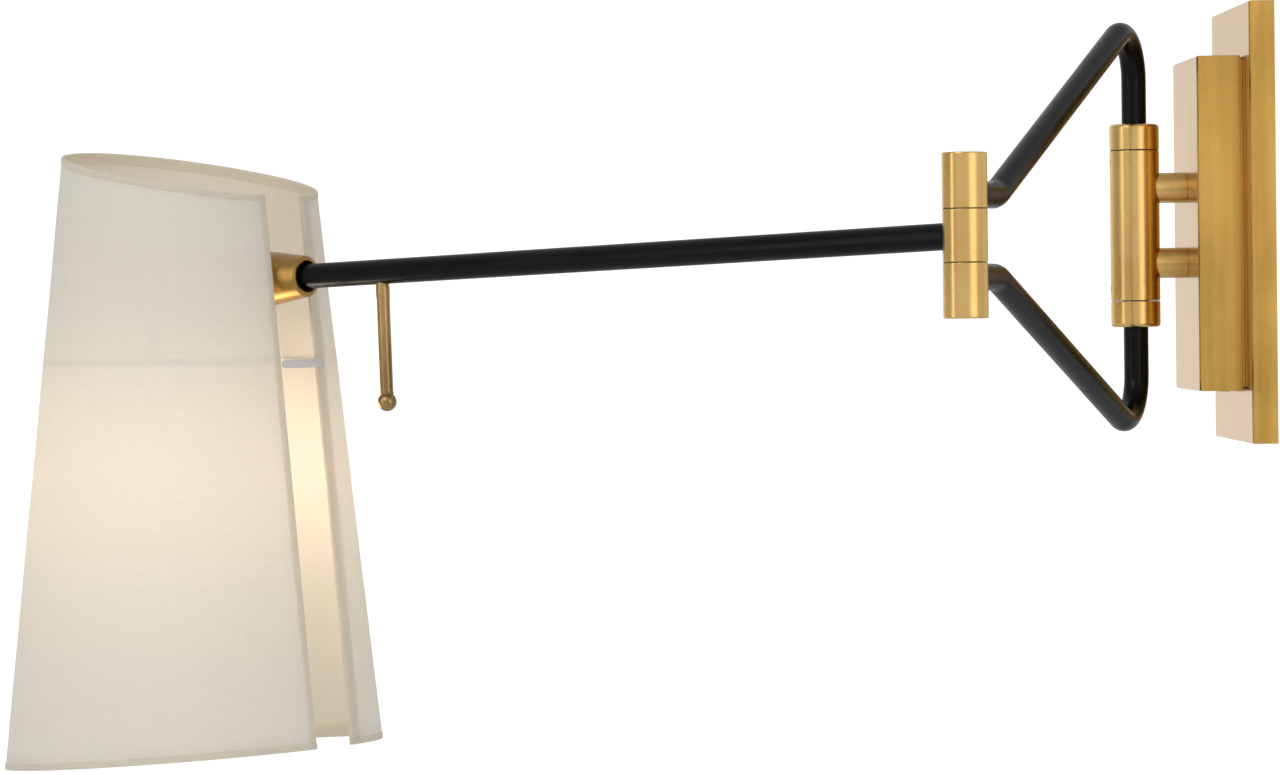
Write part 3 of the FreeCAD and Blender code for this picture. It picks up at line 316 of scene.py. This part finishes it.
def linen(name, cloth, shadow, through, glow, share, slub=1.0):
    """Woven linen that lets lamp light through, thread by thread."""
    g = material_graph(name)
    basket, across, down = weave(g)
    slubs = g.math("MAXIMUM", g.ramp(across, (0.50, 0.0), (0.72, 1.0)),
                   g.ramp(down, (0.54, 0.0), (0.74, 0.8)))
    threads = g.math("ADD", g.math("MULTIPLY", basket, 0.20), 0.5)
    tone = g.math("ADD", threads, g.math("MULTIPLY", slubs, -0.22 * slub))
    colour = g.mix(g.ramp(tone, (0.15, 0.0), (0.62, 1.0)), shadow, cloth)
    light = g.mix(g.ramp(tone, (0.10, 0.0), (0.60, 1.0)), glow, through)
    height = g.math("ADD", g.math("MULTIPLY", basket, 0.4), g.math("MULTIPLY", slubs, 0.6))
    normal = g.bump(height, 0.10 * MM, 0.55)
    front = g.node("BsdfPrincipled", {
        "Base Color": colour, "Roughness": 0.92, "Sheen Weight": 0.25,
        "Sheen Roughness": 0.5, "Specular IOR Level": 0.2, "Normal": normal})
    behind = g.node("BsdfTranslucent", {"Color": light, "Normal": normal})
    return g.finish(g.node("MixShader", {0: share, 1: front, 2: behind}))


def lit_glass():
    """Frosted bulb glass, lit from inside and softly clouded."""
    g = material_graph("frosted_glass")
    frost = g.noise((600, 600, 600), 1.0, 2.0, 0.5)
    cloud = g.noise((45, 45, 30), 1.0, 3.0, 0.5)
    colour = g.mix(g.ramp(cloud, (0.3, 0.0), (0.7, 1.0)), (0.97, 0.92, 0.84), (1.0, 0.97, 0.92))
    glow = g.mix(g.ramp(cloud, (0.3, 0.0), (0.7, 1.0)), (1.0, 0.85, 0.69), (1.0, 0.88, 0.73))
    normal = g.bump(frost, 0.03 * MM, 0.3)
    return g.finish(g.node("BsdfPrincipled", {
        "Base Color": colour, "Roughness": 0.35, "Normal": normal,
        "Emission Color": glow, "Emission Strength": BULB_GLOW}))


BOX_BRASS = brass("brass_plate", (0.67, 0.395, 0.100), (0.50, 0.285, 0.064), 0.17)
AGED_BRASS = brass("brass_aged", (0.52, 0.36, 0.155), (0.27, 0.175, 0.070), 0.30,
                   (300, 300, 30), 0.7)
# A darker copy of the brass for the hub and its back plate: painted shade, for the hub being less
# lit inside the shade.
SHADED_HUB_BRASS = brass("brass_hub_painted_shade", (0.46, 0.27, 0.080), (0.34, 0.195, 0.050), 0.32)
NODE_MATERIAL = {
    "wall_plate": BOX_BRASS, "box_base": BOX_BRASS, "box_cover": BOX_BRASS,
    "handle_rod": AGED_BRASS, "handle_ball": AGED_BRASS, "hub": SHADED_HUB_BRASS, "hub_back": SHADED_HUB_BRASS,
}
SLOT_MATERIAL = {
    "antique_brass": brass("brass_turned", (0.78, 0.515, 0.195), (0.64, 0.40, 0.130), 0.25),
    "black_paint": black_paint(),
    "steel": plain_metal("zinc_steel", (0.66, 0.66, 0.65), (0.46, 0.46, 0.46), 0.34),
    "earth_green": moulded("earth_green", (0.06, 0.30, 0.10), (0.035, 0.20, 0.06), 0.35),
    "bush_bronze": plain_metal("bush_bronze", (0.58, 0.38, 0.19), (0.40, 0.25, 0.11), 0.38),
    "washer_plastic": moulded("washer_nylon", (0.035, 0.033, 0.03), (0.015, 0.014, 0.013), 0.5),
    "wire_insulation": moulded("wire_insulation", (0.03, 0.03, 0.032), (0.014, 0.014, 0.015), 0.45),
    "connector_plastic": moulded("connector_plastic", (0.78, 0.30, 0.05), (0.62, 0.22, 0.03), 0.4),
    "holder_plastic": moulded("holder_phenolic", (0.028, 0.026, 0.024), (0.012, 0.011, 0.010), 0.3),
    "contact_brass": plain_metal("contact_brass", (0.80, 0.62, 0.34), (0.62, 0.44, 0.20), 0.25),
    "bulb_cap_metal": plain_metal("bulb_cap_metal", (0.78, 0.77, 0.75), (0.55, 0.54, 0.52), 0.3),
    "contact_ceramic": moulded("contact_ceramic", (0.86, 0.84, 0.79), (0.74, 0.72, 0.67), 0.55),
    "white_wire": sleeved_wire(),
    "linen": linen("linen", (0.85, 0.86, 0.82), (0.72, 0.73, 0.685),
                   (1.0, 0.93, 0.83), (0.90, 0.81, 0.69), 0.40),
    "linen_tape": linen("linen_tape", (0.84, 0.84, 0.79), (0.72, 0.72, 0.66),
                        (1.0, 0.94, 0.84), (0.90, 0.82, 0.70), 0.62),
    "rim_steel": plain_metal("rim_steel", (0.62, 0.62, 0.60), (0.44, 0.44, 0.43), 0.35),
    "bulb_glass": lit_glass(),
    "filament": moulded("lit_rods", (1.0, 0.82, 0.5), (0.9, 0.66, 0.34), 0.4),
}
STRAP_CLOTH = linen("strap_cloth", (0.78, 0.79, 0.77), (0.62, 0.63, 0.61),
                    (0.9, 0.86, 0.78), (0.7, 0.66, 0.6), 0.25)
SHADE_LINER = linen("shade_liner", (0.82, 0.795, 0.745), (0.74, 0.715, 0.66),
                    (1.0, 0.93, 0.81), (0.95, 0.86, 0.71), 0.46, 0.35)


def dress_cad_nodes():
    """Give every CAD node the material of its record slot."""
    for part in RECORD["subparts"]:
        piece = NODES[part["node"]]
        piece.data.materials.clear()
        usual = SLOT_MATERIAL[part["material_slot"]]
        piece.data.materials.append(NODE_MATERIAL.get(part["node"], usual))


# ------------------------------------------------------------ mesh helpers
def head_matrix():
    toward = ELBOW - HEAD
    x_axis = Vector((toward.x, toward.y, 0)).normalized()
    z_axis = Vector((0, 0, 1))
    y_axis = z_axis.cross(x_axis)
    rotation = Matrix((x_axis, y_axis, z_axis)).transposed().to_4x4()
    return Matrix.Translation(HEAD) @ rotation


HEAD_AXES = head_matrix()


def new_piece(name, vertices, faces, material, body, axes=None, uvs=None, smooth=True):
    """A mesh piece in the row frame that rides on a body."""
    mesh = bpy.data.meshes.new(name)
    placed = [axes @ Vector(v) for v in vertices] if axes else vertices
    mesh.from_pydata(placed, [], faces)
    if uvs:
        layer = mesh.uv_layers.new(name="cloth")
        for loop in mesh.loops:
            layer.data[loop.index].uv = uvs[loop.vertex_index]
    mesh.materials.append(material)
    if smooth:
        mesh.shade_smooth()
    piece = bpy.data.objects.new(name, mesh)
    bpy.context.scene.collection.objects.link(piece)
    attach(piece, body)
    return piece


def grid_faces(rows, columns):
    """Quads between rows of points, each row with the same number of columns."""
    faces = []
    for i in range(rows - 1):
        here, above = i * columns, (i + 1) * columns
        for j in range(columns - 1):
            faces.append((here + j, here + j + 1, above + j + 1, above + j))
    return faces


# ------------------------------------------------------------------- shade
def shade_radius(z):
    return SHADE_R - SHADE_TAPER * (z - SHADE_R_Z)


def rim_height(level, slope, angle):
    """The height at which a sloping rim crosses the cone at an angle."""
    z = level
    for _ in range(6):
        z = level + slope * shade_radius(z) * math.cos(angle)
    return z


def shade_point(around, up, offset):
    """A point on the shade: around 0 to 1 from slot edge to slot edge, up 0 to 1."""
    z = 0.0
    for _ in range(4):
        edge = math.asin(SLOT_HALF / shade_radius(z))
        angle = edge + around * (2 * math.pi - 2 * edge)
        low = rim_height(SHADE_BOTTOM, BOTTOM_SLOPE, angle)
        high = rim_height(SHADE_TOP, TOP_SLOPE, angle)
        z = low + up * (high - low)
    ripple = noise.noise(Vector((math.cos(angle) * 2.2, math.sin(angle) * 2.2, z * 22))) * RIPPLE
    radius = shade_radius(z) + offset + ripple
    return Vector((radius * math.cos(angle), radius * math.sin(angle), z)), angle


def cloth_sheet(name, offset, material, columns=300, rows=150):
    """One skin of the shade's wall, offset outwards from its outer face."""
    vertices, uvs = [], []
    for i in range(rows):
        for j in range(columns):
            point, angle = shade_point(j / (columns - 1), i / (rows - 1), offset)
            vertices.append(point)
            uvs.append((angle * SHADE_R, point.z))
    faces = grid_faces(rows, columns)
    if offset < 0:
        faces = [face[::-1] for face in faces]
    return new_piece(name, vertices, faces, material, "head", HEAD_AXES, uvs)


def fold_profile(outside, inside, half, lift):
    """Section of a folded edge: (out from the wall, in from the edge) pairs."""
    points = [(half, outside), (half + 0.7 * lift, outside - FOLD_FEATHER),
              (half + lift, outside - FOLD_LIP), (half + lift, FOLD_TURN)]
    for k in range(9):
        angle = math.radians(90 - 22.5 * k)
        reach = half + lift
        points.append((reach * math.sin(angle), reach - reach * math.cos(angle)))
    points += [(-half - lift, FOLD_TURN), (-half - lift, inside - FOLD_LIP),
               (-half - 0.7 * lift, inside - FOLD_FEATHER), (-half, inside)]
    return points


def folded_edge(name, path, outside, inside):
    """A folded strip of cloth over an edge; path gives (point, outward, inward) frames."""
    section = fold_profile(outside, inside, SHADE_T / 2, FOLD_LIFT)
    vertices, uvs = [], []
    travelled = 0.0
    last = None
    for point, outward, inward in path:
        if last is not None:
            travelled += (point - last).length
        last = point
        wave = noise.noise(Vector((travelled * 60, 3.7, outside * 900))) * FOLD_WAVE
        length = 0.0
        before = None
        for out, into in section:
            shift = wave if into > 1.0 * MM else 0.0
            here = point + outward * out + inward * (into + shift)
            if before is not None:
                length += (here - before).length
            before = here
            vertices.append(here)
            uvs.append((travelled * 0.8 + length * 0.6, travelled * 0.6 - length * 0.8))
    faces = grid_faces(len(path), len(section))
    return new_piece(name, vertices, faces, SLOT_MATERIAL["linen_tape"], "head",
                     HEAD_AXES, uvs)


def rim_path(up, samples=220):
    """Frames along a rim at the middle of the wall, with the way into the cloth."""
    path = []
    for k in range(samples):
        point, angle = shade_point(k / (samples - 1), up, -SHADE_T / 2)
        inner, _ = shade_point(k / (samples - 1), 0.5, -SHADE_T / 2)
        outward = Vector((math.cos(angle), math.sin(angle), SHADE_TAPER)).normalized()
        inward = inner - point
        inward = (inward - outward * inward.dot(outward)).normalized()
        path.append((point, outward, inward))
    return path


def slot_path(around, samples=150):
    """Frames up one side of the slot, like those of a rim."""
    path = []
    for k in range(samples):
        point, angle = shade_point(around, k / (samples - 1), -SHADE_T / 2)
        outward = Vector((math.cos(angle), math.sin(angle), SHADE_TAPER)).normalized()
        turn = 1 if around < 0.5 else -1
        inward = Vector((-math.sin(angle), math.cos(angle), 0)) * turn
        path.append((point, outward, inward))
    return path


def make_shade():
    """Outer cloth, lining, and the folds over both rims and both sides of the slot."""
    cloth = cloth_sheet("shade_cloth", 0.0, SLOT_MATERIAL["linen"])
    cloth_sheet("shade_lining", -SHADE_T, SHADE_LINER)
    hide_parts("shade_skin")
    top = folded_edge("fold_top", rim_path(1.0), RIM_REACH, TOP_REACH_IN)
    bottom = folded_edge("fold_bottom", rim_path(0.0), RIM_REACH, BOTTOM_REACH_IN)
    folded_edge("fold_slot_far", slot_path(0.0), SLOT_REACH_FAR, SLOT_REACH_IN)
    folded_edge("fold_slot_near", slot_path(1.0), SLOT_REACH_NEAR, SLOT_REACH_IN)
    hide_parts("shade_edge_tape", "top_band")
    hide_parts("bottom_inner_hem", "bottom_band")


def make_bridge():
    """The cloth-covered strap across the slot, lapped over the far hem."""
    around, along = 28, 60
    radius = shade_radius(FITTER_Z) + STRAP_OUT
    low = math.asin(-SLOT_HALF / radius)
    high = math.asin((SLOT_HALF + STRAP_LAP) / radius)
    vertices, uvs = [], []
    for i in range(along):
        angle = low + (high - low) * i / (along - 1)
        taper = min(1.0, 0.55 + 0.45 * min(i, along - 1 - i) / 3)
        for k in range(around):
            turn = 2 * math.pi * k / (around - 1)
            out = STRAP_HALF_T * math.copysign(abs(math.cos(turn)) ** 0.6, math.cos(turn)) * taper
            up = STRAP_HALF_H * math.copysign(abs(math.sin(turn)) ** 0.45, math.sin(turn)) * taper
            fray = noise.noise(Vector((i * 0.35, k * 0.4, 1.3))) * STRAP_FRAY
            reach = radius + out + fray
            vertices.append((reach * math.cos(angle), reach * math.sin(angle), FITTER_Z + up))
            length, girth = angle * radius * 0.7, turn * 1.5 * MM
            uvs.append((length + girth, girth - length))
    faces = grid_faces(along, around)
    last = (along - 1) * around
    faces += [tuple(range(around - 1)), tuple(range(last + around - 2, last - 1, -1))]
    strap = new_piece("bridge_strap", vertices, faces, STRAP_CLOTH, "head",
                      HEAD_AXES, uvs)
    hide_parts("slot_bridge")


def turned(name, profile, axes, material, body, segments=64):
    """A turned piece: closed (radius, height) points spun about the axes' Z."""
    vertices = []
    for k in range(segments):
        angle = 2 * math.pi * k / segments
        vertices += [(r * math.cos(angle), r * math.sin(angle), z) for r, z in profile]
    count = len(profile)
    faces = []
    for k in range(segments):
        here, ahead = k * count, (k + 1) % segments * count
        for i in range(count):
            j = (i + 1) % count
            faces.append((here + i, ahead + i, ahead + j, here + j))
    return new_piece(name, vertices, faces, material, body, axes, smooth=False)


def make_handle_collars():
    """A ferrule under the arm tube and a small bead where the rod meets the ball."""
    rod_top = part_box("handle_rod")[1][2]
    ball_low, ball_high = (Vector(corner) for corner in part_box("handle_ball"))
    ball = (ball_low + ball_high) / 2
    arm_way = (ELBOW - HEAD).normalized()
    up = (Vector((0, 0, 1)) - arm_way * arm_way.z).normalized()
    side = up.cross(arm_way)
    axes = Matrix((arm_way, side, up)).transposed().to_4x4()
    axes.translation = ball
    top = (rod_top - ball.z) / up.z
    inner = ROD_R - COLLAR_LAP
    turned("handle_ferrule", [(inner, top - FERRULE_LOW),
                              (ROD_R + FERRULE_LIP, top - FERRULE_LOW),
                              (ROD_R + FERRULE_T, top - FERRULE_SHOULDER),
                              (ROD_R + FERRULE_T, top - FERRULE_HIGH),
                              (inner, top - FERRULE_HIGH)],
           axes, AGED_BRASS, "arm")
    bead_radii = (inner, ROD_R + BEAD_SIDE_T, ROD_R + BEAD_T, ROD_R + BEAD_SIDE_T, inner)
    turned("handle_bead", list(zip(bead_radii, BEAD_HEIGHTS)),
           axes, AGED_BRASS, "arm")


# ------------------------------------------------------------------- stage
def make_stage():
    """A plain pale floor that ends before the camera's view of the lamp."""
    mesh = bpy.data.meshes.new("floor")
    corners = [(-FLOOR_BEHIND, -FLOOR_REACH), (FLOOR_REACH, -FLOOR_REACH),
               (FLOOR_REACH, FLOOR_REACH), (-FLOOR_BEHIND, FLOOR_REACH)]
    mesh.from_pydata([(x, y, FLOOR_Z) for x, y in corners], [], [(0, 1, 2, 3)])
    floor = bpy.data.objects.new("floor", mesh)
    bpy.context.scene.collection.objects.link(floor)
    g = material_graph("pale_floor")
    grain = g.noise((1.2, 1.2, 1.2), 1.0, 2.0, 0.5)
    colour = g.mix(g.ramp(grain, (0.3, 0.0), (0.7, 1.0)),
                   (0.90, 0.895, 0.885), (0.93, 0.93, 0.925))
    paint = g.node("BsdfPrincipled", {"Base Color": colour, "Roughness": 0.9})
    mesh.materials.append(g.finish(paint))


def make_world():
    """A white studio that mirrors as warm white below and dim above and by the wall."""
    world = bpy.data.worlds.new("studio")
    bpy.context.scene.world = world
    g = Graph(world, "OutputWorld")
    direction = g.node("SeparateXYZ", {0: g.node("TexCoord").outputs["Generated"]})
    height = g.node("MapRange", {0: direction.outputs[2], 1: -1.0, 2: 1.0}).outputs[0]
    side = g.node("MapRange", {0: direction.outputs[1], 1: -1.0, 2: 1.0}).outputs[0]
    upright = g.ramp(height, (0.0, (0.98, 0.95, 0.90)), (0.44, (0.95, 0.945, 0.93)),
                     (0.62, (0.70, 0.72, 0.74)), (1.0, (0.42, 0.44, 0.47)))
    sideways = g.ramp(side, (0.0, 0.5), (0.07, 0.62), (0.16, 0.97), (0.5, 0.97),
                      (0.75, 0.9), (1.0, 0.86))
    room = g.mix(1.0, upright, sideways, "MULTIPLY")
    seen = g.node("LightPath").outputs["Is Camera Ray"]
    colour = g.mix(seen, room, (1.0, 1.0, 1.0))
    g.finish(g.node("Background", {"Color": colour, "Strength": 1.15}))


def soft_light(name, at, aim, size, watts, colour=(1.0, 0.98, 0.95)):
    data = bpy.data.lights.new(name, "AREA")
    data.shape = "RECTANGLE"
    data.size, data.size_y = size
    data.energy = watts
    data.color = colour
    lamp = bpy.data.objects.new(name, data)
    bpy.context.scene.collection.objects.link(lamp)
    lamp.location = at
    lamp.rotation_euler = (Vector(aim) - Vector(at)).to_track_quat("-Z", "Y").to_euler()


def make_lights():
    middle = (0.0, -0.3, -0.05)
    soft_light("key", (2.0, -1.6, 1.5), middle, (1.4, 1.4), 16.0)
    soft_light("fill", (1.8, 1.0, 0.2), middle, (1.2, 1.6), 6.0)
    soft_light("strip", (0.9, -2.2, 0.3), middle, (0.3, 1.8), 4.0)


def make_camera():
    data = bpy.data.cameras.new("camera")
    data.sensor_width = 36.0
    data.lens = LENS_PX / IMAGE_W * data.sensor_width
    data.clip_end = 100.0
    camera = bpy.data.objects.new("camera", data)
    bpy.context.scene.collection.objects.link(camera)
    ahead, right, up = Vector((-1, 0, 0)), Vector((0, 1, 0)), Vector((0, 0, 1))
    forward = (ahead * LENS_PX + right * AIM_RIGHT + up * AIM_UP).normalized()
    across = right - up * ROLL
    across = (across - forward * across.dot(forward)).normalized()
    rotation = Matrix((across, across.cross(forward), -forward)).transposed().to_4x4()
    camera.matrix_world = Matrix.Translation(CAMERA_AT) @ rotation
    bpy.context.scene.camera = camera


make_camera()
make_world()
make_lights()
make_stage()
dress_cad_nodes()
make_shade()
make_bridge()
make_handle_collars()
bpy.context.scene.view_settings.view_transform = "Standard"
